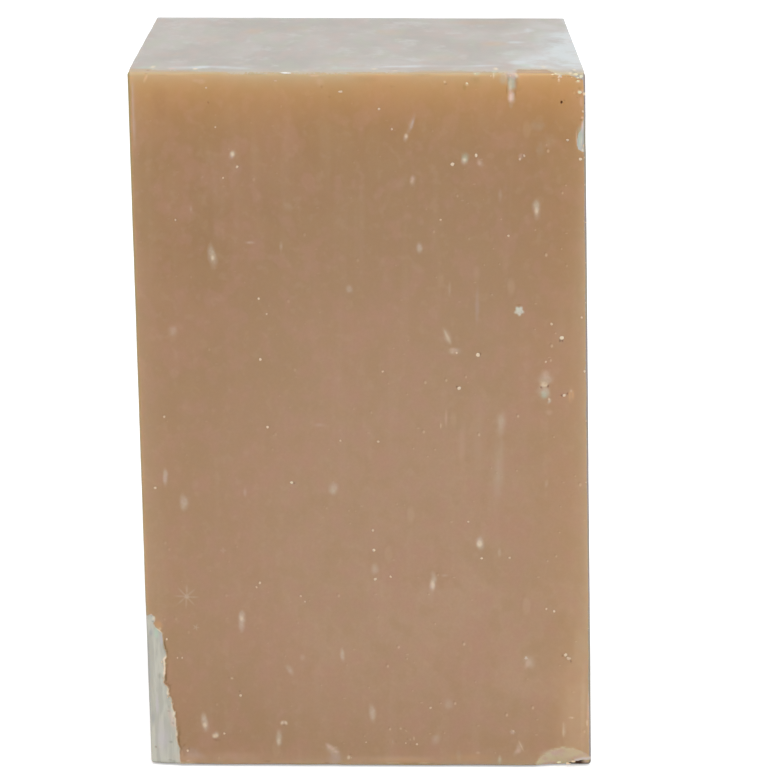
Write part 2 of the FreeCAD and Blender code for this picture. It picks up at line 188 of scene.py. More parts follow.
# Hard pale flecks that stand a little proud of the front: across, up, radius, paleness
FLECKS = (
    (22.7, 52.6, 0.27, 1.0), (13.0, 50.5, 0.26, 0.9), (10.9, 46.5, 0.24, 0.9), (-8.6, 35.1, 0.22, 1.0),
    (9.9, 72.9, 0.24, 0.8), (12.6, 73.9, 0.22, 0.8), (-11.4, 41.8, 0.2, 0.8), (-12.2, 49.9, 0.2, 0.8),
    (-12.3, 57.1, 0.18, 0.8), (1.0, 26.9, 0.21, 0.8), (1.2, 23.3, 0.2, 0.6), (22.3, 19.4, 0.2, 0.8),
    (-14.7, 72.5, 0.2, 0.6), (23.1, 45.7, 0.19, 0.9), (-14.8, 8.8, 0.19, 0.6), (17.0, 26.0, 0.17, 0.5),
    (-21.2, 1.8, 0.18, 0.9), (6.2, 2.7, 0.18, 0.5), (13.7, 25.9, 0.17, 0.8), (21.4, 19.7, 0.17, 0.5),
    (16.4, 64.6, 0.17, 0.4), (4.9, 2.9, 0.17, 0.4), (1.5, 79.2, 0.18, 0.5), (-1.65, 0.95, 0.16, 0.8),
    (1.5, 40.1, 0.18, 0.4), (17.6, 73.5, 0.18, 0.3), (-16.8, 4.0, 0.18, 0.4), (20.9, 49.7, 0.17, 0.5),
    (24.7, 6.1, 0.19, 0.5), (18.1, 73.9, 0.17, 0.3), (3.0, 23.6, 0.18, 0.4), (21.5, 54.2, 0.17, 0.4),
    (-24.6, 34.4, 0.18, 0.6), (2.0, 48.5, 0.17, 0.4), (0.9, 29.3, 0.16, 0.4), (23.0, 75.7, 0.18, 0.4),
    (10.55, 50.75, 0.13, 0.8), (-23.4, 43.0, 0.16, 0.4), (-16.3, 71.2, 0.16, 0.3), (17.7, 4.4, 0.15, 0.5),
    (12.1, 30.4, 0.15, 0.5), (23.75, 14.0, 0.26, 0.8), (24.18, 13.52, 0.34, 0.35), (-22.26, 13.5, 0.15, 0.3),
    (-21.7, 13.5, 0.15, 0.3), (0.1, 3.0, 0.19, 0.4), (-12.4, 22.8, 0.2, 0.5), (-12.8, 22.3, 0.16, 0.4),
    (3.0, 76.9, 0.15, 0.3), (7.8, 7.3, 0.16, 0.4), (-17.1, 77.1, 0.15, 0.3), (-7.1, 20.5, 0.15, 0.3),
    (-7.6, 21.2, 0.15, 0.3), (8.6, 66.4, 0.14, 0.3), (-11.4, 55.3, 0.15, 0.3), (-2.9, 40.2, 0.15, 0.3),
    (25.4, 48.6, 0.16, 0.9), (25.0, 55.0, 0.18, 0.6), (-21.8, 66.3, 0.15, 0.3), (24.8, 81.0, 0.2, 0.9),
    (24.7, 79.0, 0.15, 0.6),
)
# Single crumbs near the front's edges: their place, their three radii and how pale they are
SINGLE_CRUMBS = (
    # The first crumb, pure white, is a painted glint on the top arris
    ((-9.1, -23.86, TALL - 0.1), (0.62, 0.09, 0.07), 2.0),
    ((21.9, FACE + 0.02, 83.0), (0.14, 0.05, 0.1), 0.9), ((24.3, FACE + 0.02, 81.2), (0.22, 0.05, 0.16), 1.2),
    ((24.5, FACE + 0.02, 73.5), (0.2, 0.05, 0.16), 0.9), ((23.2, -23.85, 0.45), (0.22, 0.1, 0.12), 1.2),
    ((24.9, -23.8, 0.55), (0.26, 0.1, 0.1), 1.0), ((24.3, -23.8, 0.3), (0.3, 0.1, 0.1), 0.8),
    ((-23.5, FACE + 0.02, 15.8), (0.14, 0.05, 0.2), 0.8),
    ((-10.2, FACE + 0.02, 82.4), (0.22, 0.05, 0.1), 0.3),
    ((-2.9, FACE + 0.02, 81.2), (0.28, 0.05, 0.13), 0.6),
    ((-18.1, FACE + 0.02, 81.6), (0.14, 0.05, 0.14), 0.4),
)
# Crumbs on the top arris: across, up the front and on over the top, radius
CLUSTER = (
    (23.2, 85.4, 0.24), (23.45, 86.2, 0.22), (23.75, 85.6, 0.26), (22.9, 84.6, 0.14), (23.2, 83.95, 0.26),
    (23.25, 83.85, 0.2), (23.8, 83.5, 0.26), (24.45, 83.1, 0.2), (24.05, 82.85, 0.12), (24.1, 82.5, 0.12),
    (22.9, 83.8, 0.16), (21.57, 83.5, 0.18), (21.9, 82.7, 0.09), (21.2, 83.4, 0.16), (20.9, 83.5, 0.12),
    (24.6, 84.4, 0.18), (14.2, 83.2, 0.12), (14.5, 84.6, 0.18), (12.4, 83.5, 0.14), (-22.2, 84.8, 0.1),
    (-19.5, 86.8, 0.16), (-24.4, 87.4, 0.12), (12.9, 83.6, 0.1), (11.5, 82.2, 0.12),
)
# Small pits, dark with painted shade: across, up, radius, how dark
PITS = (
    (22.25, 80.05, 0.12, 1.0), (22.62, 80.25, 0.07, 0.18), (20.4, 46.65, 0.09, 0.4), (21.2, 46.8, 0.1, 0.4),
    (22.75, 45.7, 0.1, 0.35), (23.45, 45.9, 0.1, 0.35), (22.5, 52.2, 0.12, 0.35), (22.8, 52.2, 0.12, 0.3),
    (13.3, 50.6, 0.08, 0.3), (10.6, 46.7, 0.09, 0.35), (-8.3, 35.0, 0.09, 0.3), (24.9, 79.9, 0.1, 0.4),
    (24.4, 13.2, 0.12, 0.3), (23.4, 13.9, 0.12, 0.25), (-17.9, 79.9, 0.1, 0.25), (-14.9, 9.3, 0.1, 0.25),
)
# Outlines of the broken places on the front: across, up
FLAKE = (
    (-29.0, 18.9), (-25.8, 18.8), (-25.3, 18.95), (-24.85, 18.65), (-24.8, 18.2), (-25.0, 17.7),
    (-24.8, 17.3), (-24.4, 17.0), (-24.0, 16.6), (-23.85, 15.4), (-23.85, 14.6), (-23.6, 14.1), (-23.5, 13.6),
    (-23.8, 13.2), (-23.75, 12.2), (-23.75, 11.0), (-23.8, 10.4), (-23.4, 9.9), (-23.3, 9.4), (-23.35, 8.8),
    (-23.0, 8.2), (-22.9, 7.2), (-22.7, 6.7), (-22.5, 5.5), (-22.45, 4.0), (-22.3, 2.6), (-22.1, 2.1),
    (-22.1, -3.0), (-29.0, -3.0),
)
SPALL = (
    (20.3, -3.0), (20.4, 0.3), (21.0, 1.2), (22.1, 2.1), (23.5, 2.5), (25.1, 2.3), (26.0, 2.1), (27.2, 1.3),
    (30.0, 1.2), (30.0, -3.0),
)
CHIP = (
    (28.0, 79.0), (25.0, 78.4), (24.74, 78.3), (24.62, 77.6), (24.5, 77.0), (24.28, 76.7), (24.12, 76.2),
    (24.04, 75.6), (24.06, 75.0), (24.24, 74.55), (24.6, 74.3), (25.1, 74.2), (28.0, 74.2),
)
NICK = (
    (15.7, 86.0), (15.85, 82.6), (15.95, 81.4), (16.1, 80.7), (16.4, 80.15), (16.75, 80.05), (17.0, 80.5),
    (17.2, 81.3), (17.3, 82.5), (17.6, 86.0),
)
# Where the skin comes down over the top arris, at its right end: across, up
CRUST = (
    (21.2, 87.0), (21.3, 83.75), (21.6, 83.3), (22.0, 83.1), (22.15, 82.9), (22.3, 83.25), (23.0, 83.2),
    (23.3, 83.05), (23.9, 82.85), (24.3, 82.75), (24.7, 82.7), (26.0, 82.6), (26.0, 87.0),
)
# The slip under the foot's right corner, whose dark is painted shade: how tall it is, across the foot
SLIP_X = (23.7, 24.5, 25.1, 25.9, 27.1)
SLIP_TALL = (0, 0.30, 0.43, 0.66, 0.80)
# Marks on the top face: across, back, half width, half depth, strength
PALE_SPOTS = (
    (-13.1, -4.3, 1.1, 5.0, 0.35), (20.0, 12.4, 0.9, 2.6, 0.6), (17.9, 1.5, 1.5, 1.6, 0.6),
    (17.5, -15.5, 1.3, 2.4, 0.8), (-2.0, 8.0, 1.2, 1.4, 0.3), (5.5, 3.0, 1.6, 1.3, 0.3),
    (-16.5, -12.0, 2.2, 1.6, 0.25), (0.5, -3.0, 1.0, 1.5, 0.25),
)
TAN_SPOTS = (
    (-14.1, 10.7, 1.4, 3.0, 0.35), (15.3, 0.1, 1.7, 2.2, 0.45), (14.0, 19.5, 5.0, 2.0, 0.3),
    (-9.0, 14.0, 1.5, 2.5, 0.2), (3.0, 10.0, 2.2, 3.0, 0.25), (9.0, -12.0, 2.5, 3.0, 0.2),
    (-19.0, 4.0, 2.0, 3.5, 0.15), (-3.0, -14.0, 2.4, 3.0, 0.15),
)
# Where the painted highlight, a pale line along the top's front margin, runs: across, back from the front,
# and how strong it is
HIGHLIGHT_X = (
    -27, -24.4, -23.3, -22, -20.6, -19.2, -17.8, -16.4, -15.1, -13.7, -12.3, -10, -4.5, -2.7, 0, 1.4, 2.8,
    5.5, 6.9, 9.6, 11, 12.4, 13.7, 15.1, 16.5, 18, 20, 24, 27,
)
HIGHLIGHT_Y = (
    3.9, 4.1, 3.7, 3.7, 3.9, 3.8, 4.5, 4.3, 3.7, 3.4, 2.8, 2.7, 2.9, 3.1, 3.7, 4.5, 5.0, 5.1, 5.3, 5.4, 5.4,
    5.6, 5.9, 6.1, 5.9, 5.7, 5.1, 3.5, 1.5,
)
HIGHLIGHT_STRONG = (
    0, 0.25, 0.15, 0.5, 0.62, 1.0, 0.75, 0.8, 0.62, 0.62, 0.12, 0, 0.05, 0.32, 0.3, 0.5, 0.8, 0.8, 0.5, 0.34,
    0.42, 0.6, 0.65, 0.4, 0.1, 0.35, 0.3, 0.2, 0,
)
# How far back from the front arris the skin begins, and how much soap shows through the skin there
MARGIN_X = (
    -27, -24.3, -23.5, -22, -20.5, -19, -17.8, -16.4, -15, -11, -7, -5.5, -2.7, -1.4, 2.8, 5.5, 6.8, 8.2, 9.6,
    11, 12.4, 13.7, 15.1, 16.6, 17.3, 20.6, 21.4, 27,
)
MARGIN_Y = (
    2.3, 2.3, 1.2, 1.6, 1.7, 0.6, 0.8, 0.5, 0.2, 0.2, 0.0, 0.5, 0.0, 0.5, 0.3, 0.9, 1.9, 2.0, 1.9, 1.6, 1.1,
    1.4, 0.4, 0.3, 2.7, 2.8, 0.3, 0.2,
)
THIN_X = (-27, -24, -23, -17, -15, 5, 8, 11, 14, 17, 20, 27)
THIN_STRONG = (0.95, 0.92, 0.65, 0.5, 0.42, 0.42, 0.72, 0.72, 0.55, 0.9, 0.85, 0.6)
# How wide and how marked the flake's pale rim, partly a painted highlight on its crest, and its painted step
# shadow are, up the bar
RIM_Z = (0, 2.5, 3.5, 5, 6.5, 7.5, 8.3, 9, 10, 11, 12, 13.6, 14.2, 16, 17, 17.6, 18.8)
RIM_WIDE = (0.1, 0.1, 0.18, 0.2, 0.2, 0.16, 0.08, 0.22, 0.1, 0.18, 0.24, 0.2, 0.06, 0.06, 0.2, 0.2, 0.06)
RIM_STRONG = (0.4, 0.3, 0.5, 0.8, 0.8, 0.6, 0.3, 1.0, 0.4, 0.9, 1.0, 0.9, 0.3, 0.5, 0.8, 0.3, 0.4)
STEP_SHADOW_Z = (0, 2.2, 3, 4.5, 5, 8, 9, 10, 11, 13, 13.6, 14.3, 15.4, 15.8, 17)
STEP_SHADOW_STRONG = (0.0, 0.5, 0.9, 0.6, 0.4, 0.45, 0.2, 0.6, 1.0, 1.0, 0.3, 0.9, 0.9, 0.2, 0.0)
# Painted glow: light that comes through near the front's and back's own edges, painted into their colour as a
# warm band and a paler band: how strong, and how far it reaches, at the top, right, left and foot
PAINTED_GLOW = (0.68, 0.14, 0.06, 0.06)
PAINTED_GLOW_REACH = (3.5, 4.5, 4.5, 1.5)
PAINTED_PALE_GLOW_REACH = (1.15, 0.8, 1.0, 0.7)
PAINTED_PALE_GLOW_X = (-26, -22, -17, -13, -3, 1, 6, 9, 13, 17, 26)
PAINTED_PALE_GLOW_TOP = (0.78, 0.78, 0.80, 0.96, 0.96, 0.66, 0.74, 0.74, 0.70, 0.56, 0.48)
# How the cut faces' tone drifts, up the bar and across it
TONE_Z = (0, 2, 7, 14, 22, 29, 36, 46, 53, 58, 64, 72, 78, 83)
TONE_UP = (0.66, 0.54, 0.62, 0.78, 0.82, 0.76, 0.74, 0.60, 0.48, 0.36, 0.22, 0.10, 0.0, 0.05)
TONE_X = (-25, -23, -19, -8, 12, 22)
TONE_ACROSS = (-0.16, -0.28, -0.26, -0.03, 0.07, -0.04)


def soft(t):
    """Rises smoothly from 0 to 1 as t does."""
    t = np.clip(t, 0, 1)
    return t * t * (3 - 2 * t)


def noise(u, v, seed, octaves=1):
    """Smooth noise from about -1 to 1 over a plane, whose widest features are about one unit."""
    total, strength = 0, 1
    for octave in range(octaves):
        table = np.random.default_rng(seed + octave).uniform(-1, 1, (97, 97))
        iu, iv = np.floor(u).astype(int), np.floor(v).astype(int)
        fu, fv = soft(u - iu), soft(v - iv)
        low = table[iu % 97, iv % 97] * (1 - fu) + table[(iu + 1) % 97, iv % 97] * fu
        high = table[iu % 97, (iv + 1) % 97] * (1 - fu) + table[(iu + 1) % 97, (iv + 1) % 97] * fu
        total = total + strength * (low * (1 - fv) + high * fv)
        u, v, strength = u * 2 + 31.7, v * 2 + 17.3, strength / 2
    return total


def across(a, z):
    """Where the bar's own across coordinate lies once the bar leans and tapers."""
    t = z / TALL
    middle = (SPAN - FOOT_WIDTH) / 2 - LEAN * t
    return middle + a * (FOOT_WIDTH + (TOP_WIDTH - FOOT_WIDTH) * t) / WIDE


def depth_inside(x, z, outline):
    """How far a point of the front lies inside a closed outline, negative outside."""
    ends = np.array(outline)
    near = np.full(x.shape, 1e9)
    inside = np.zeros(x.shape, bool)
    for (x0, z0), (x1, z1) in zip(ends, np.roll(ends, -1, 0)):
        t = np.clip(((x - x0) * (x1 - x0) + (z - z0) * (z1 - z0)) / ((x1 - x0) ** 2 + (z1 - z0) ** 2), 0, 1)
        near = np.minimum(near, np.hypot(x - x0 - t * (x1 - x0), z - z0 - t * (z1 - z0)))
        if z0 != z1:
            crosses = (z0 > z) != (z1 > z)
            inside ^= crosses & (x < x0 + (z - z0) * (x1 - x0) / (z1 - z0))
    return np.where(inside, near, -near)


def blotch_shape(x, z, spot):
    """A blotch's own profile: 1 in its middle and 0 outside it."""
    bx, bz, long, wide, *lean, _ = spot
    lean = math.radians(lean[0]) if lean else 0
    c, s = math.cos(lean), math.sin(lean)
    u, v = (x - bx) * c - (z - bz) * s, (x - bx) * s + (z - bz) * c
    away = np.hypot(u / wide, v / long) / 1.35 + 0.16 * noise(x / 0.6 + bx, z / 0.8 + bz, 41, 2)
    return soft(1.15 - 1.15 * away)


def star_shape(x, z, star):
    """A flake seen flat on, with a solid middle and short rays."""
    sx, sz, radius, rays, turn, solid, _ = star
    angle = np.arctan2(z - sz, x - sx)
    ray = solid + (1 - solid) * np.abs(np.cos(rays * angle / 2 + turn)) ** (1 / solid)
    return soft(1.9 - 1.9 * np.hypot(x - sx, z - sz) / (radius * ray))


# The mesh: a closed box of quads, refined where the detail is


def ticks(half, pitch):
    """Places of the grid's lines along one side of the box, close together at its ends."""
    ends = np.array([0, 0.1, 0.2, 0.3, 0.4, 0.55, 0.9])
    inner = half - ends[-1]
    steps = max(2, round(2 * inner / pitch))
    return np.concatenate([-half + ends[:-1], np.linspace(-inner, inner, steps + 1), half - ends[-2::-1]])


def box_of_quads(lines):
    """Vertices and quads of a closed box whose faces are ruled by the given lines."""
    counts = [len(line) for line in lines]
    quads = []
    for axis in range(3):
        u, v = (axis + 1) % 3, (axis + 2) % 3
        iu, iv = np.meshgrid(np.arange(counts[u] - 1), np.arange(counts[v] - 1), indexing="ij")
        for end in (0, counts[axis] - 1):
            corners = []
            for du, dv in ((0, 0), (1, 0), (1, 1), (0, 1)):
                index = [None, None, None]
                index[axis], index[u], index[v] = np.full(iu.shape, end), iu + du, iv + dv
                corners.append(np.ravel_multi_index(index, counts).ravel())
            quads.append(np.stack(corners[::-1] if end == 0 else corners, 1))
    used, quads = np.unique(np.concatenate(quads), return_inverse=True)
    places = np.stack([line[i] for line, i in zip(lines, np.unravel_index(used, counts))], 1)
    return places, quads.reshape(-1, 4)


def finer(pitch, fine, away, grade=0.45):
    """The pitch, made fine beside something and coarser with the distance from it."""
    return np.minimum(pitch, fine + grade * np.maximum(away, 0))


def wanted_pitch(p):
    """How fine the mesh should be at points of the box."""
    a, y, z = p[:, 0], p[:, 1], p[:, 2] + TALL / 2
    x = across(a, z)
    behind, back = y + DEPTH / 2, DEPTH / 2 - y
    pitch = np.where(behind < 0.5, 0.45, np.where(TALL - z < 0.5, 0.8, COARSE))
    pitch = finer(pitch, 0.2, np.minimum(TALL - z, WIDE / 2 - a) + behind - 0.5, 0.5)
    pitch = finer(pitch, 0.3, np.minimum(z, WIDE / 2 + a) + behind - 0.5, 0.5)
    pitch = finer(pitch, 0.9, np.minimum.reduce([TALL - z, z, WIDE / 2 - abs(a)]) + back, 0.5)
    for outline, fine in ((FLAKE, 0.13), (SPALL, 0.16), (CHIP, 0.11), (NICK, 0.11)):
        inside = depth_inside(x, z, outline)
        away = np.maximum(-inside, 0) + np.maximum(behind - 0.8, 0) + 0.35 * np.maximum(inside - 0.4, 0)
        pitch = finer(pitch, fine, away, 0.4)
    for bx, bz, long, wide, *_, strength in BLOTCHES:
        if strength >= 0.15:
            away = np.hypot(x - bx, z - bz) - 1.1 * max(long, wide) + np.maximum(behind - 0.5, 0)
            pitch = finer(pitch, max(0.12, 0.28 * min(long, wide)), away)
    for bx, bz, long, wide, *_ in BACK_BLOTCHES:
        away = np.hypot(x - bx, z - bz) - 1.1 * max(long, wide) + np.maximum(back - 0.5, 0)
        pitch = finer(pitch, 0.35 * min(long, wide), away)
    up, aside = z + np.maximum(behind, 0), np.minimum(behind, TALL - z)
    for spots in MARKS.values():
        for bx, bz, long, wide, *_ in spots:
            small = min(long, wide)
            away = small * (np.hypot((x - bx) / wide, (up - bz) / long) - 1.2)
            pitch = finer(pitch, np.clip(0.45 * small, 0.08, 0.4) + aside, away, 0.5)
    for sx, sz, radius, *_ in STARS:
        pitch = finer(pitch, 0.10, np.hypot(x - sx, z - sz) - radius + np.maximum(behind - 0.5, 0))
    for px, pz, radius, _ in PITS:
        away = np.hypot(x - px, z - pz) - 1.5 * radius + np.maximum(behind - 0.5, 0)
        pitch = finer(pitch, 0.45 * radius, away)
    slip = np.maximum(24 - x, 0) + np.maximum(behind - 0.6, 0) + np.maximum(z - 1.2, 0)
    return finer(pitch, 0.12, slip, 0.5)


def refine(mesh, rounds=6):
    """Splits the edges that are longer than the pitch wanted where they lie."""
    for _ in range(rounds):
        edges = list(mesh.edges)
        ends = np.array([(*e.verts[0].co, *e.verts[1].co) for e in edges])
        length = np.linalg.norm(ends[:, 3:] - ends[:, :3], axis=1)
        long = length > 1.45 * wanted_pitch((ends[:, :3] + ends[:, 3:]) / 2)
        if not long.any():
            break
        chosen = [edge for edge, is_long in zip(edges, long) if is_long]
        bmesh.ops.subdivide_edges(mesh, edges=chosen, cuts=1, use_grid_fill=True)


class Surface:
    """The bar's worn surface before anything is broken off it: its points, its normals and where they lie."""

    def __init__(self, box_points):
        worn, self.normal = worn_block(box_points)
        self.y, self.z = worn[:, 1], worn[:, 2] + TALL / 2
        self.x = across(worn[:, 0], self.z)
        self.nx, self.ny, self.nz = self.normal.T
        self.behind = self.y + DEPTH / 2
        self.up = self.z + np.maximum(self.behind, 0)
        self.front = soft(-self.ny * 1.6 - 0.3)
        self.rear = soft(self.ny * 1.6 - 0.3)
        self.lid = soft(self.nz * 3 - 1.8)
        self.seen_ahead = np.maximum(self.front, soft(self.nz * 2))
        self.left_gap = self.x - across(-WIDE / 2, self.z)
        self.right_gap = across(WIDE / 2, self.z) - self.x


def worn_block(p):
    """The box's points once its arrises are worn round, unevenly, and the normals there."""
    radius = ARRIS - 0.16 * soft((p[:, 1] + DEPTH / 2 - 1) / 4)
    radius = (radius * (1 + 0.22 * noise(p[:, 0] / 3.1 + p[:, 2] / 2.7, p[:, 1] / 2.9, 5)))[:, None]
    core = np.clip(p, radius - HALF, HALF - radius)
    normal = p - core
    normal /= np.linalg.norm(normal, axis=1)[:, None]
    return core + radius * normal, normal


def unevenness(s):
    """How far the points move, as each face lies a little inside the box and isn't quite flat."""
    x, y, z = s.x, s.y, s.z
    low = INSET * np.array([0.05, 0.6, 0.1])
    wave = np.array([
        0.012 + 0.012 * noise(y / 13 + 3, z / 15, 11) + 0.006 * noise(y / 1.7, z / 1.9, 12, 2),
        0.030 * noise(x / 14, z / 19 + 7, 13) + 0.008 * noise(x / 1.1, z / 17, 14, 2)
        + 0.006 * noise(x / 0.9, z, 15),
        0.024 + 0.020 * noise(x / 12, y / 13, 16) + 0.010 * noise(x / 2.3, y / 2.6, 17, 2),
    ]).T
    move = -np.sign(s.normal) * s.normal ** 2 * (low + wave)
    move[:, 2] = np.where(z < 1, np.maximum(move[:, 2], 0) * 0.15, move[:, 2])
    return move


def break_places(s):
    """Sinks the broken places into the front, and keeps how far inside each one a point lies."""
    x, z = s.x, s.z
    shallow = np.clip(1 - s.behind / 3, 0, 1)
    s.ragged = 0.11 * noise(x / 0.55, z / 0.6, 21, 2)
    s.flake, s.spall, chip, nick = (depth_inside(x, z, outline) for outline in (FLAKE, SPALL, CHIP, NICK))
    s.flake = s.flake + 0.09 * noise(x / 0.7, z / 0.7, 26, 3)
    s.flake_in = soft(s.flake / 0.16)
    s.spall_in = soft((s.spall + 0.8 * s.ragged) / 0.3)
    s.chip_in = soft((chip + 0.4 * s.ragged) / 0.15)
    s.nick_in = soft((nick + 1.3 * s.ragged + 0.1) / 0.45)
    cut = s.flake_in * (0.10 + 0.155 * np.maximum(s.flake, 0) + 0.025 * noise(x / 0.8, z / 1.3, 22, 2))
    cut = cut + s.spall_in * (0.05 + 0.22 * np.maximum(s.spall, 0) + 0.03 * noise(x / 0.7, z / 0.5, 23, 2))
    cut = cut + s.chip_in * (0.04 + 0.42 * np.clip(chip, 0, 1.1))
    cut = cut + s.nick_in * (0.05 + 0.30 * soft((z - 79.9) / 3.6))
    # The slip under the foot's right corner is a crevice, sunk a little, and its dark colour is painted shade
    s.slip_top = np.interp(x, SLIP_X, SLIP_TALL)
    s.slip = soft((s.slip_top - z) / 0.12) * soft((x - SLIP_X[0] + 0.1) / 0.4) * soft(-s.ny * 3)
    s.y = s.y + (cut + 0.5 * s.slip) * shallow


def blemishes(s):
    """The blotches, which stand slightly proud, the stars, the local tints and the pits, dark with painted
    shade.
    """
    x, z = s.x, s.z
    bloom = np.zeros(len(x))
    for spot in BLOTCHES:
        bloom = np.maximum(bloom, spot[-1] * blotch_shape(x, z, spot))
    bloom *= s.front
    s.y = s.y - 0.03 * bloom
    for spot in BACK_BLOTCHES:
        bloom = np.maximum(bloom, s.rear * spot[-1] * blotch_shape(x, z, spot))
    for star in STARS:
        bloom = np.maximum(bloom, s.front * star[-1] * star_shape(x, z, star))
    painted_shade = np.zeros(len(x))
    for px, pz, radius, strength in PITS:
        painted_shade = np.maximum(painted_shade, s.front * strength * soft(1.35 - np.hypot(x - px, (z - pz) / 1.5) / radius))
    s.y = s.y + 0.25 * painted_shade
    masks = {"bloom": bloom, "painted_shade": painted_shade}
    for tint, spots in MARKS.items():
        strength = np.zeros(len(x))
        for spot in spots:
            strength = np.maximum(strength, spot[-1] * blotch_shape(x, s.up, spot))
        masks[tint] = strength * s.seen_ahead
    return masks


def skin_masks(s):
    """The dry skin covers the top, the foot and the sides, and laps over their arrises."""
    x, z, nx, nz = s.x, s.z, s.nx, s.nz
    margin = np.interp(x, MARGIN_X, MARGIN_Y) + 0.3 * noise(x / 2.4, x * 0 + 0.5, 51, 3)
    laps = [nx - 0.38, -nx - 0.80, -nz - 0.80, np.minimum((nz - 0.4) * 1.5, (s.behind - margin) / 4)]
    skin = np.clip(0.5 + 1.6 * np.max(laps, 0), 0, 1)
    skin = np.maximum(skin, s.front * np.maximum(s.flake_in, s.chip_in))
    skin = np.maximum(skin, 0.35 * s.front * s.nick_in * soft((z - 81.0) / 1.6))
    crust = depth_inside(x, s.up, CRUST) + 0.10 * noise(x / 0.35, z / 0.35, 62, 2)
    skin = np.maximum(skin, s.seen_ahead * soft((crust + 0.03) / 0.1))
    thin = np.exp(-np.maximum(s.behind - np.interp(x, (16.5, 17.5, 21, 22), (0.4, 2.4, 2.4, 0.4)), 0) / 1.3)
    thin *= soft(nz * 2) * np.interp(x, THIN_X, THIN_STRONG)
    at_front = soft(1.5 - s.behind / 0.8)
    # Painted shade: the front's right arris, foot arris and left arris are darkened where they turn from the
    # light
    painted_arris_shade = 0.85 * soft((nx - 0.22) / 0.4) + 0.6 * soft((-nz - 0.3) / 0.4)
    painted_left_arris_shade = np.interp(z, (20, 60, 80), (0.35, 0.6, 0.85)) * soft((-nx - 0.15) / 0.35) * (1 - s.flake_in)
    rounded = np.interp(x, (9, 16, 18), (0.8, 0.5, 0.22)) * soft(nz * 2.2 - 0.42)
    return {
        "skin": skin, "thin": thin, "painted_arris_shade": painted_arris_shade * at_front, "painted_left_arris_shade": painted_left_arris_shade * at_front,
        "rounded": rounded,
    }


def top_masks(s):
    """The top's painted highlights along its front margin and back edge, its pale and tan clouds, the rubbed
    edges of the sides and the whiter right end.
    """
    x, y, z = s.x, s.y, s.z
    path = np.interp(x, HIGHLIGHT_X, HIGHLIGHT_Y) + 0.15 * noise(x / 1.9, x * 0, 56, 2)
    line = np.exp(-((s.behind - path) / (1.15 + 0.4 * noise(x / 3, x * 0, 59))) ** 2) * s.lid
    line *= np.interp(x, HIGHLIGHT_X, HIGHLIGHT_STRONG) * (0.93 + 0.14 * noise(x / 1.1, x * 0, 52, 2))
    back = DEPTH / 2 - y
    # A painted highlight along the top's back edge
    line = np.maximum(line, 0.55 * s.lid * np.exp(-np.maximum(back, 0) / 2.8) * soft(1.2 - (x + 6) / 30))
    rubbed = soft(1.5 - np.minimum.reduce([TALL - z, z, back]) / 1.6)
    rubbed = rubbed * (0.5 + 0.5 * noise(y / 5, z / 5, 63, 2))
    line = np.maximum(line, 0.5 * soft(abs(s.nx) * 3 - 1.8) * rubbed)
    stain = np.zeros(len(x))
    # The pale spots are marks of the skin; they share this mask with the painted highlights
    for sx, sy, wide, deep, strength in PALE_SPOTS:
        line = np.maximum(line, strength * s.nz * soft(1.3 - np.hypot((x - sx) / wide, (y - sy) / deep)))
    for sx, sy, wide, deep, strength in TAN_SPOTS:
        stain = np.maximum(stain, strength * s.nz * soft(1.3 - np.hypot((x - sx) / wide, (y - sy) / deep)))
    frost = soft((x - 17.0 - 3.2 * (y + 4) / 20 + 2.2 * noise(x / 4, y / 9, 55, 2)) / 4.5)
    frost = np.maximum(frost * soft(s.nz * 2) * soft((s.behind - 1.5) / 3.5), 0.20 * s.front * s.chip_in)
    return {"line": line, "stain": stain, "frost": frost}


def break_masks(s):
    """The rims, partly painted highlight, the painted shadow at the flake's step, and the lips of the broken
    places.
    """
    x, z, front, flake = s.x, s.z, s.front, s.flake
    rim = front * soft((flake + 0.04) / 0.1) * soft((np.interp(z, RIM_Z, RIM_WIDE) - flake) / 0.12 + 0.5)
    rim = rim * np.interp(z, RIM_Z, RIM_STRONG) * (1 + 0.3 * noise(x * 0, z / 0.5, 53, 2))
    painted_step_shadow = front * np.exp(-((flake + 0.14) / 0.11) ** 2) * np.interp(z, STEP_SHADOW_Z, STEP_SHADOW_STRONG)
    lip = np.exp(-((s.spall + 0.5 * s.ragged - 0.16) / 0.16) ** 2) * front * soft((25.6 - x) / 0.8)
    tip = soft((z - s.slip_top + 0.05) / 0.1) * soft((s.slip_top + 0.45 - z) / 0.15)
    # A painted highlight along the front's left arris, near the top
    from_edge = s.left_gap - 0.60 - 0.08 * noise(x * 0, z / 2.5, 58)
    painted_left_edge_highlight = 0.5 * front * np.exp(-(from_edge / 0.13) ** 2) * soft((z - 74.0) / 3) * soft((82.6 - z) / 1)
    return {
        "rim": rim * soft((x + 25.2) / 0.3), "painted_step_shadow": painted_step_shadow * soft((x + 24.3) / 0.4), "lip": lip,
        "tip": front * soft((x - 24.6) / 0.8) * tip, "painted_left_edge_highlight": painted_left_edge_highlight, "flake": s.flake_in * front,
        "fresh": s.spall_in * front, "slip": s.slip * soft((26.4 - x) / 0.6),
    }


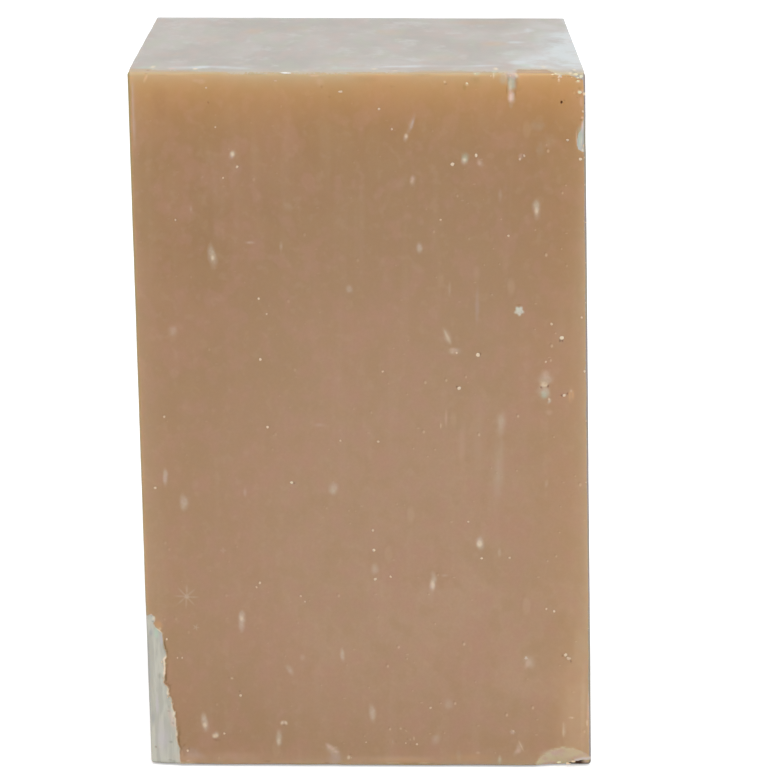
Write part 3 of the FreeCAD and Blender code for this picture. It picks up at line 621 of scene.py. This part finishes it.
def light_masks(s):
    """The cut faces' tone, drifting over the front, and the painted glow of light coming through near their
    edges.
    """
    x, z = s.x, s.z
    gaps = [np.maximum(gap, 0) for gap in (TALL - z, s.right_gap, s.left_gap, z)]
    painted_glow = sum(k * np.exp(-gap / reach) for k, gap, reach in zip(PAINTED_GLOW, gaps, PAINTED_GLOW_REACH))
    # The paler band of the painted glow
    pale = (np.interp(x, PAINTED_PALE_GLOW_X, PAINTED_PALE_GLOW_TOP), np.interp(z, (63, 70), (0.55, 0.30)), 0.24, 0.30)
    pale = sum(k * np.exp(-gap / reach) for k, gap, reach in zip(pale, gaps, PAINTED_PALE_GLOW_REACH))
    tone = np.interp(z, TONE_Z, TONE_UP) + np.interp(x, TONE_X, TONE_ACROSS)
    tone = tone + 0.28 * soft((x - 12) / 8) * soft((18 - z) / 8) * soft((z - 2) / 9)
    tone = tone + 0.08 * soft((26 - z) / 4) * soft((x + 14) / 8)
    busy = 0.35 + 0.65 * soft((x + 12) / 26 + (30 - z) / 90)
    cut = np.maximum(s.front, s.rear)
    return {"painted_glow": painted_glow * cut, "pale": pale * cut, "tone": tone, "busy": busy}


def shape(box_points):
    """Puts the box's points on the worn, broken surface, and works out the masks of its material."""
    s = Surface(box_points)
    move = unevenness(s)
    break_places(s)
    masks = blemishes(s)
    for kind in (skin_masks, top_masks, break_masks, light_masks):
        masks.update(kind(s))
    return np.stack([s.x, s.y, s.z], 1) + move, masks


def linked(name, data):
    """A smooth-shaded object of the scene, made of the given mesh."""
    data.polygons.foreach_set("use_smooth", np.ones(len(data.polygons), bool))
    data.update()
    piece = bpy.data.objects.new(name, data)
    bpy.context.scene.collection.objects.link(piece)
    return piece


def make_bar():
    """The bar, and the names of its masks, which its mesh keeps by threes."""
    places, quads = box_of_quads([ticks(half, COARSE) for half in HALF])
    data = bpy.data.meshes.new("bar")
    data.from_pydata(places.tolist(), [], quads.tolist())
    work = bmesh.new()
    work.from_mesh(data)
    refine(work)
    work.to_mesh(data)
    work.free()
    box_points = np.empty(len(data.vertices) * 3)
    data.vertices.foreach_get("co", box_points)
    places, masks = shape(box_points.reshape(-1, 3))
    data.vertices.foreach_set("co", (places * MM).ravel())
    names = list(masks)
    for first in range(0, len(names), 3):
        three = np.zeros((len(places), 3), np.float32)
        for axis, name in enumerate(names[first:first + 3]):
            three[:, axis] = masks[name]
        layer = data.attributes.new(f"masks_{first // 3}", "FLOAT_VECTOR", "POINT")
        layer.data.foreach_set("vector", three.ravel())
    return linked("bar", data), names


def make_crumbs(name, spots, seed):
    """Small hard crumbs, as one piece. Each spot is a place, three radii and how pale it is."""
    rng = np.random.default_rng(seed)
    work = bmesh.new()
    pale = work.verts.layers.float.new("paleness_and_glint")
    for place, radii, paleness_and_glint in spots:
        made = bmesh.ops.create_icosphere(work, subdivisions=2, radius=1.0)["verts"]
        lumps = rng.normal(size=(5, 3))
        lumps /= np.linalg.norm(lumps, axis=1)[:, None]
        for v in made:
            d = np.array(v.co)
            swell = 1 + 0.28 * (lumps @ d > 0.72).any() - 0.16 * abs(math.sin(5 * d[0] + 3 * d[2] + place[0]))
            v.co = Vector((np.array(place) + np.array(radii) * d * swell) * MM)
            v[pale] = paleness_and_glint
    data = bpy.data.meshes.new(name)
    work.to_mesh(data)
    work.free()
    return linked(name, data)


def on_top_arris(rng, x, up, r, pale):
    """A crumb sitting at a place on the front or on over the top."""
    start, end = ROUND
    if up < start:
        y, z = FACE + 0.02, up
    elif up < end:
        turn = (up - start) / (end - start) * math.pi / 2
        y, z = 0.5 - DEPTH / 2 - 0.4 * math.cos(turn), TALL - 0.5 + 0.4 * math.sin(turn)
    else:
        y, z = up - TALL - DEPTH / 2, TALL - 0.08
    # It stays inside the bar's box
    proud = 1.3 * r * 0.6
    y, z = max(y, 0.01 - DEPTH / 2 + proud), min(z, TALL - 0.015 - proud)
    deep, high = 0.6 if up < TALL else 0.9, 0.6 if up > 83.2 else 0.9
    return (x, y, z), (r * rng.uniform(0.9, 1.6), r * deep, r * high), pale


def scattered_crumbs(rng):
    """Crumbs along the top arris and the right arris, on the back and in the flake."""
    spots = [on_top_arris(rng, x, up, r, rng.uniform(1.0, 1.8)) for x, up, r in CLUSTER]
    for low, high, count, biggest in ((21.2, 24.6, 16, 0.10), (12.5, 20.4, 10, 0.07), (-8.0, 10.0, 4, 0.06)):
        for _ in range(count):
            x, up, r = rng.uniform(low, high), rng.uniform(82.9, 84.2), rng.uniform(0.04, biggest)
            spots.append(on_top_arris(rng, x, up, r, rng.uniform(0.5, 1.4)))
    for _ in range(26):
        z, r = rng.uniform(2, 78), rng.uniform(0.04, 0.09)
        place = (across(WIDE / 2, z) - r * 1.3 - rng.uniform(0.05, 0.35), r * 1.3 + 0.05 - DEPTH / 2, z)
        spots.append((place, (r, r, r * rng.uniform(1.0, 2.5)), rng.uniform(0.2, 1.0)))
    for _ in range(34):
        x, z, r = rng.uniform(-24.5, 23.5), rng.uniform(2, 81), rng.uniform(0.09, 0.22)
        spots.append(((x, -FACE - 0.02, z), (r * 0.9, 0.055, r), rng.uniform(0.3, 1.0)))
    for _ in range(16):
        corner, t, r = rng.integers(8, len(FLAKE) - 2), rng.uniform(0, 1), rng.uniform(0.04, 0.08)
        (x0, z0), (x1, z1) = FLAKE[corner:corner + 2]
        place = (x0 + t * (x1 - x0) - rng.uniform(0.05, 0.35), FACE + 0.09, z0 + t * (z1 - z0))
        spots.append((place, (r, 0.06, r * rng.uniform(1, 2)), rng.uniform(0.2, 1.0)))
    return spots


# Materials


def seen(r, g, b):
    """A colour as it is seen, each part from 0 to 255, as the linear values that a shader takes."""
    return tuple(((c / 255 + 0.055) / 1.055) ** 2.4 for c in (r, g, b)) + (1.0,)


class Nodes:
    """A material's nodes. Each call adds one and gives back its output."""

    def __init__(self, name):
        self.material = bpy.data.materials.new(name)
        self.material.use_nodes = True
        self.tree = self.material.node_tree
        self.shader = self.tree.nodes["Principled BSDF"]
        self.place = self.add("ShaderNodeTexCoord", "Object")

    def put(self, socket, value):
        """Links an output to a socket, or sets the socket to a plain value."""
        if isinstance(value, bpy.types.NodeSocket):
            self.tree.links.new(value, socket)
        else:
            socket.default_value = value

    def add(self, kind, output, inputs=(), **settings):
        node = self.tree.nodes.new(kind)
        for name, value in settings.items():
            setattr(node, name, value)
        for name, value in dict(inputs).items():
            self.put(node.inputs[name], value)
        return node.outputs[output]

    def noise(self, size, detail=2.0, rough=0.5, stretch=(1, 1, 1), shift=0.0):
        """Noise whose features are about size millimetres, longer along an axis by its stretch."""
        scale = tuple(1 / (MM * size * s) for s in stretch)
        mapped = self.add("ShaderNodeMapping", "Vector", {
            "Vector": self.place, "Scale": scale, "Location": (shift, shift * 1.7, shift * 0.6)})
        return self.add("ShaderNodeTexNoise", "Fac", {
            "Vector": mapped, "Scale": 1.0, "Detail": detail, "Roughness": rough})

    def specks(self, size, radius, stretch, shift, aside):
        """Round specks, one to a cell of size millimetres, and their painted shadow sides, that many
        millimetres aside.

        Their radius is a share of the cell."""
        scale = (1 / (MM * size), 1 / (MM * size), 1 / (MM * size * stretch))
        place = self.add("ShaderNodeMapping", "Vector", {
            "Vector": self.place, "Scale": scale, "Location": (shift, shift, shift)})
        middle = self.add("ShaderNodeTexVoronoi", "Position", {"Vector": place, "Scale": 1.0})
        moved = self.add("ShaderNodeVectorMath", "Vector", {0: place, 1: (aside / size, 0, -aside / size)})
        specks = []
        for point, reach in ((place, radius), (moved, radius * 1.1)):
            away = self.add("ShaderNodeVectorMath", "Value", {0: point, 1: middle}, operation="DISTANCE")
            specks.append(self.ramp(away, reach, reach * 0.45))
        return specks

    def ramp(self, value, low, high, to_low=0.0, to_high=1.0, smooth=True):
        return self.add("ShaderNodeMapRange", "Result", {
            "Value": value, "From Min": low, "From Max": high, "To Min": to_low, "To Max": to_high,
        }, interpolation_type="SMOOTHSTEP" if smooth else "LINEAR")

    def total(self, a, b):
        return self.add("ShaderNodeMath", 0, {0: a, 1: b})

    def product(self, a, b):
        return self.add("ShaderNodeMath", 0, {0: a, 1: b}, operation="MULTIPLY")

    def blend(self, factor, a, b):
        """Colour a, changed to b by the factor. Either is an output or a colour as it is seen."""
        a, b = (seen(*colour) if isinstance(colour, tuple) else colour for colour in (a, b))
        return self.add("ShaderNodeMix", 2, {0: factor, 6: a, 7: b}, data_type="RGBA")

    def bump(self, height, distance, normal=None):
        inputs = {"Height": height, "Distance": distance * MM, "Strength": 1.0}
        if normal is not None:
            inputs["Normal"] = normal
        return self.add("ShaderNodeBump", "Normal", inputs)

    def finish(self, **inputs):
        for name, value in inputs.items():
            self.put(self.shader.inputs[name.replace("_", " ")], value)
        return self.material


class Soap(Nodes):
    """The soap's nodes, with the bar's masks and the noises that several parts of the material share."""

    def __init__(self, mask_names):
        super().__init__("soap")
        self.masks = {}
        for first in range(0, len(mask_names), 3):
            vector = self.add("ShaderNodeAttribute", "Vector", attribute_name=f"masks_{first // 3}")
            axes = self.add("ShaderNodeSeparateXYZ", "X", {"Vector": vector}).node.outputs
            self.masks.update(zip(mask_names[first:first + 3], axes))
        self.patch = self.noise(8, 2, 0.5, shift=9)
        self.fine = self.noise(1.2, 2, 0.5, shift=13)
        self.grain = self.noise(0.35, 3, 0.6, shift=6)
        self.smear = self.noise(1.6, 4, 0.6, (1.6, 3, 2.4), 15)
        self.powder = self.noise(0.5, 3, 0.6, shift=18)

    def faded(self, name, strength):
        """A mask times a strength."""
        return self.ramp(self.masks[name], 0, 1, 0, strength, False)


def cut_soap(n):
    """The colour of the cut faces."""
    mottle = n.noise(2.4, 2, 0.5, (1, 1, 1.2), 4)
    drag = n.noise(1.8, 2, 0.5, (1, 1, 12), 2)
    tan = n.blend(n.masks["tone"], (161, 127, 92), (182, 151, 124))
    for noise_of, low, high, strength, shade in (
            (n.patch, 0.48, 0.64, 0.33, (178, 139, 114)), (n.patch, 0.48, 0.32, 0.30, (167, 137, 103)),
            (mottle, 0.50, 0.66, 0.34, (181, 140, 121)), (mottle, 0.50, 0.34, 0.30, (168, 138, 102)),
            (n.fine, 0.52, 0.72, 0.16, (190, 162, 136)), (drag, 0.52, 0.75, 0.10, (190, 164, 140)),
            (n.grain, 0.35, 0.65, 0.08, (145, 112, 84))):
        tan = n.blend(n.ramp(noise_of, low, high, 0, strength), tan, shade)
    # Specks of all sizes, each with a painted shadow on one side
    busy = n.masks["busy"]
    for size, radius, stretch, strength, shift in (
            (2.6, 0.080, 1.3, 0.45, 0), (1.9, 0.075, 1.0, 0.32, 5), (5.0, 0.130, 2.2, 0.16, 11),
            (3.4, 0.075, 0.5, 0.26, 17)):
        pale, painted_shade = n.specks(size, radius, stretch, shift, 0.13)
        tan = n.blend(n.product(busy, n.product(painted_shade, strength * 0.5)), tan, (128, 92, 60))
        tan = n.blend(n.product(busy, n.product(pale, strength)), tan, (218, 194, 166))
    # Painted glow near the cut faces' edges: a warm band, then a paler band, of light that comes through the
    # soap
    tan = n.blend(n.masks["painted_glow"], tan, (223, 160, 72))
    tan = n.blend(n.masks["pale"], tan, (187, 181, 154))
    return n.blend(n.masks["rounded"], tan, (184, 165, 136))


def dry_skin(n):
    """The colour of the dry skin, with the soap showing through where it is thin."""
    cloud = n.noise(6, 3, 0.55, (1.3, 3, 1.3), 12)
    hue = n.noise(2.4, 2, 0.5, (1, 4, 2.5), 45)
    tan_cloud = n.noise(3, 3, 0.6, (1, 2.5, 1.8), 21)
    skin = n.blend(n.ramp(cloud, 0.36, 0.66), (178, 173, 167), (192, 186, 181))
    for noise_of, low, high, strength, shade in (
            (hue, 0.50, 0.68, 0.5, (192, 176, 170)), (hue, 0.50, 0.32, 0.5, (180, 183, 168)),
            (n.smear, 0.52, 0.74, 0.45, (205, 205, 202)), (tan_cloud, 0.58, 0.74, 0.35, (196, 176, 156)),
            (n.powder, 0.35, 0.65, 0.12, (172, 168, 164))):
        skin = n.blend(n.ramp(noise_of, low, high, 0, strength), skin, shade)
    skin = n.blend(n.masks["stain"], skin, (198, 172, 142))
    frost = n.product(n.masks["frost"], n.ramp(n.smear, 0.30, 0.58, 0.35, 1.0))
    skin = n.blend(n.ramp(frost, 0, 1, 0, 0.85, False), skin, (209, 215, 217))
    # Painted highlights along the top's front margin and back edge, with the pale spots and the sides' rubbed
    # edges
    skin = n.blend(n.ramp(n.masks["line"], 0.1, 0.9, 0, 0.75), skin, (209, 215, 218))
    return n.blend(n.masks["thin"], skin, (202, 184, 147))


def broken_places(n, colour):
    """Lays the flake's own colour and the painted shade of the front's side and foot arrises over the soap's.
    """
    bands = n.noise(0.55, 3, 0.6, (1, 1, 9), 42)
    flaked = n.blend(n.ramp(bands, 0.40, 0.60), (183, 182, 170), (199, 198, 185))
    colour = n.blend(n.faded("flake", 0.85), colour, flaked)
    # Painted shade on the front's left, right and foot arrises
    colour = n.blend(n.masks["painted_left_arris_shade"], colour, (150, 136, 92))
    shade = n.blend(n.ramp(n.patch, 0.42, 0.58), (136, 130, 112), (138, 130, 130))
    colour = n.blend(n.masks["painted_arris_shade"], colour, shade)
    fresh = n.blend(n.ramp(n.fine, 0.4, 0.6), (200, 170, 156), (204, 190, 158))
    return n.blend(n.ramp(n.masks["fresh"], 0.1, 0.9, 0, 0.8), colour, fresh)


def small_marks(n, colour):
    """Lays the blotches, the breaks' edges with their painted highlights and shadows, the local tints and the
    pits' painted shade over the soap's colour.
    """
    haze = n.blend(n.ramp(n.fine, 0.35, 0.6), (214, 198, 188), (210, 203, 188))
    colour = n.blend(n.product(n.masks["bloom"], n.ramp(n.grain, 0.3, 0.7, 0.75, 1.2)), colour, haze)
    # Painted highlight along the front's left arris
    colour = n.blend(n.masks["painted_left_edge_highlight"], colour, (192, 176, 168))
    # Painted shadow along the flake's step
    colour = n.blend(n.faded("painted_step_shadow", 0.8), colour, (108, 84, 40))
    colour = n.blend(n.faded("tip", 0.8), colour, (204, 194, 196))
    # Painted shade in the slip under the foot's right corner
    colour = n.blend(n.masks["slip"], colour, (76, 38, 24))
    # The flake's crumbly pale rim, partly a painted highlight on its crest
    crumbly = n.noise(0.5, 3, 0.6, (1, 1, 2), 30)
    rim = n.product(n.masks["rim"], n.ramp(crumbly, 0.32, 0.55, 0.2, 1.0))
    colour = n.blend(rim, colour, (238, 222, 196))
    uneven = n.ramp(n.grain, 0.3, 0.6, 0.8, 1.1)
    # The tints, some of them painted shade and some painted highlights
    for tint, shade in TINTS.items():
        colour = n.blend(n.product(n.masks[tint], uneven), colour, shade)
    lip = n.product(n.masks["lip"], n.ramp(n.grain, 0.3, 0.6, 0.3, 0.9))
    colour = n.blend(lip, colour, (206, 192, 158))
    # Painted shade in the pits
    return n.blend(n.ramp(n.masks["painted_shade"], 0.05, 0.9, 0, 0.9, False), colour, (92, 52, 26))


def soap_material(mask_names):
    n = Soap(mask_names)
    ragged = n.noise(0.5, 3, 0.65, shift=24)
    skinned = n.ramp(n.total(n.masks["skin"], n.ramp(ragged, 0.2, 0.8, -0.35, 0.35, False)), 0.40, 0.60)
    colour = n.blend(skinned, cut_soap(n), dry_skin(n))
    colour = small_marks(n, broken_places(n, colour))
    normal = n.bump(n.grain, 0.0075)
    normal = n.bump(n.product(skinned, n.total(n.powder, 0.5)), 0.03, normal)
    return n.finish(
        Base_Color=colour, Roughness=n.ramp(skinned, 0, 1, 0.5, 0.78), Normal=normal, Specular_IOR_Level=0.35,
        Subsurface_Weight=n.ramp(skinned, 0, 1, 0.75, 0.2), Subsurface_Radius=(1.0, 0.6, 0.35),
        Subsurface_Scale=2.0 * MM, IOR=1.45)


def crumb_material():
    n = Nodes("crumb")
    grain = n.noise(0.2, 3, 0.6)
    paleness_and_glint = n.add("ShaderNodeAttribute", "Fac", attribute_name="paleness_and_glint")
    colour = n.blend(n.ramp(paleness_and_glint, 0, 1, 0, 1, False), (196, 163, 134), (234, 210, 182))
    colour = n.blend(n.ramp(paleness_and_glint, 0.9, 1.3), colour, (232, 226, 188))
    # Paleness above 1.5 paints a glint, in white
    colour = n.blend(n.ramp(paleness_and_glint, 1.5, 2), colour, (248, 247, 242))
    colour = n.blend(n.ramp(grain, 0.4, 0.7, 0, 0.3), colour, (205, 185, 155))
    return n.finish(
        Base_Color=colour, Roughness=0.6, Specular_IOR_Level=0.4, Normal=n.bump(grain, 0.03),
        Subsurface_Weight=0.3, Subsurface_Radius=(1.0, 0.8, 0.6), Subsurface_Scale=0.3 * MM)


# Pieces

bar, mask_names = make_bar()
bar.data.materials.append(soap_material(mask_names))
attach(bar, "root")
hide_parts("soap_bar")

spots = [((x, FACE + 0.02, z), (r * 0.85, 0.055, r * 0.85), pale) for x, z, r, pale in FLECKS]
flecks = make_crumbs("flecks", spots + list(SINGLE_CRUMBS) + scattered_crumbs(np.random.default_rng(8)), 3)
flecks.data.materials.append(crumb_material())
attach(flecks, "root")

# Stage: a pale floor, a white surround, soft light from above and in front, and the photograph's camera


def pale_paper():
    """White paper that glows a little where the camera sees it, so that it renders as white."""
    paper = Nodes("paper")
    direct = paper.add("ShaderNodeLightPath", "Is Camera Ray")
    return paper.finish(
        Base_Color=(0.93, 0.93, 0.93, 1), Roughness=0.9, Specular_IOR_Level=0.1, Emission_Color=(1, 1, 1, 1),
        Emission_Strength=paper.product(direct, 0.40))


def white_surround():
    """A surround that is white where it is seen or mirrored, and that lights the bar a little less."""
    world = bpy.data.worlds.new("surround")
    bpy.context.scene.world = world
    world.use_nodes = True
    tree = world.node_tree
    path = tree.nodes.new("ShaderNodeLightPath")
    looked_at = path.outputs["Is Camera Ray"]
    for ray in ("Is Glossy Ray", "Is Transmission Ray"):
        either = tree.nodes.new("ShaderNodeMath")
        either.operation = "MAXIMUM"
        tree.links.new(looked_at, either.inputs[0])
        tree.links.new(path.outputs[ray], either.inputs[1])
        looked_at = either.outputs[0]
    level = tree.nodes.new("ShaderNodeMapRange")
    level.inputs["To Min"].default_value = 0.8
    level.inputs["To Max"].default_value = 1.0
    tree.links.new(looked_at, level.inputs["Value"])
    background = tree.nodes["Background"]
    background.inputs["Color"].default_value = (1, 1, 1, 1)
    tree.links.new(level.outputs["Result"], background.inputs["Strength"])


def soft_light(name, place, target, size, power):
    lamp = bpy.data.lights.new(name, "AREA")
    lamp.shape, lamp.size, lamp.energy = "DISK", size, power
    light = bpy.data.objects.new(name, lamp)
    light.location = place
    light.rotation_euler = (Vector(target) - Vector(place)).to_track_quat("-Z", "Y").to_euler()
    bpy.context.scene.collection.objects.link(light)


def photograph_camera(place, pitch, yaw, roll, focal_pixels, wide_pixels, sensor=36.0):
    """The photograph's camera: it looks along +Y, turned by the three angles in degrees."""
    lens = bpy.data.cameras.new("camera")
    lens.sensor_width = sensor
    lens.lens = focal_pixels / wide_pixels * sensor
    lens.clip_start = 0.01
    camera = bpy.data.objects.new("camera", lens)
    turn = Matrix.Rotation(math.radians(yaw), 4, "Z")
    turn = turn @ Matrix.Rotation(math.pi / 2 - math.radians(pitch), 4, "X")
    turn = turn @ Matrix.Rotation(math.radians(roll), 4, "Z")
    camera.matrix_world = Matrix.Translation(place) @ turn
    bpy.context.scene.collection.objects.link(camera)
    bpy.context.scene.camera = camera


bpy.ops.mesh.primitive_plane_add(size=3.0, location=(0, 0, -0.0002))
floor = bpy.context.object
floor.name = "floor"
floor.data.materials.append(pale_paper())
white_surround()
soft_light("overhead", (0.06, -0.45, 0.80), (0, 0, 0.04), 0.6, 2.3)
photograph_camera((0.0031, -0.3879, 0.1371), 13.981, 0.065, 0.161, 3230, 777)
bpy.context.scene.view_settings.view_transform = "Standard"
